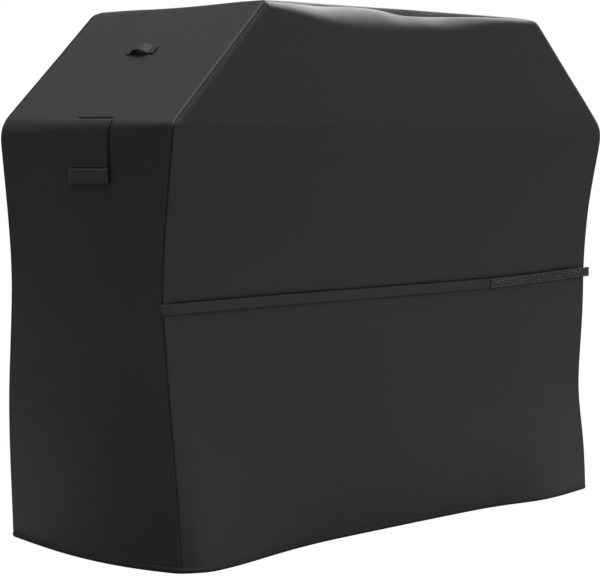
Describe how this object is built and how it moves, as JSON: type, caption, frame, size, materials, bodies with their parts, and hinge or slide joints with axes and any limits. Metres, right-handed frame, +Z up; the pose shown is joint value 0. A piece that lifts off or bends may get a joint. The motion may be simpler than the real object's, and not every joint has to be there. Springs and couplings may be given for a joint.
{
  "type": "grill cover",
  "caption": "Fitted fabric cover for a gas grill, with sloped shoulders, waist straps, end vents under flaps and small hanging loops.",
  "frame": {"origin": "centre of the hem on the ground, under the middle of the cover", "axes": "+X along the long side, -Y out of the front panel, +Z up"},
  "size_m": [1.5496, 0.6578, 1.22],
  "materials": {
    "cloth": "black coated polyester, fine plain weave, satin",
    "binding": "black folded binding tape, matte",
    "webbing": "black ribbed webbing, matte",
    "hook": "black moulded hook tape",
    "mesh": "black knitted mesh"
  },
  "bodies": {
    "cover": {"front_panel": "cloth", "back_panel": "cloth", "top_and_end_panel": "cloth", "front_seam_binding": "binding", "back_seam_binding": "binding", "hem_binding": "binding", "front_strap": "webbing", "back_strap": "webbing", "left_vent_mesh": "mesh", "right_vent_mesh": "mesh", "left_vent_binding": "binding", "right_vent_binding": "binding", "left_loop_front_foot": "webbing", "left_loop_back_foot": "webbing", "right_loop_front_foot": "webbing", "right_loop_back_foot": "webbing"},
    "front_strap_end": {"front_strap_tail": "webbing", "front_strap_hook_tape": "hook"},
    "back_strap_end": {"back_strap_tail": "webbing", "back_strap_hook_tape": "hook"},
    "left_vent_cover": {"left_vent_flap": "cloth", "left_vent_lip": "webbing"},
    "right_vent_cover": {"right_vent_flap": "cloth", "right_vent_lip": "webbing"},
    "left_loop_arch": {"left_loop": "webbing"},
    "right_loop_arch": {"right_loop": "webbing"}
  },
  "joints": [
    {"name": "front_strap_fold", "type": "hinge", "parent": "cover", "child": "front_strap_end", "pos_m": [0.335, -0.26475, 0.57167], "axis": [0.013, 0, -0.9999], "range_deg": [0, 175]},
    {"name": "back_strap_fold", "type": "hinge", "parent": "cover", "child": "back_strap_end", "pos_m": [0.335, 0.26475, 0.57167], "axis": [-0.013, 0, 0.9999], "range_deg": [0, 175]},
    {"name": "left_vent_lift", "type": "hinge", "parent": "cover", "child": "left_vent_cover", "pos_m": [-0.73451, -0.031, 0.96415], "axis": [0, 1, 0], "range_deg": [0, 140]},
    {"name": "right_vent_lift", "type": "hinge", "parent": "cover", "child": "right_vent_cover", "pos_m": [0.73451, 0.031, 0.96415], "axis": [0, -1, 0], "range_deg": [0, 140]},
    {"name": "left_loop_tilt", "type": "hinge", "parent": "cover", "child": "left_loop_arch", "pos_m": [-0.58517, -0.0035, 1.10748], "axis": [0, -1, 0], "range_deg": [0, 35]},
    {"name": "right_loop_tilt", "type": "hinge", "parent": "cover", "child": "right_loop_arch", "pos_m": [0.58517, 0.0035, 1.10748], "axis": [0, 1, 0], "range_deg": [0, 35]}
  ]
}
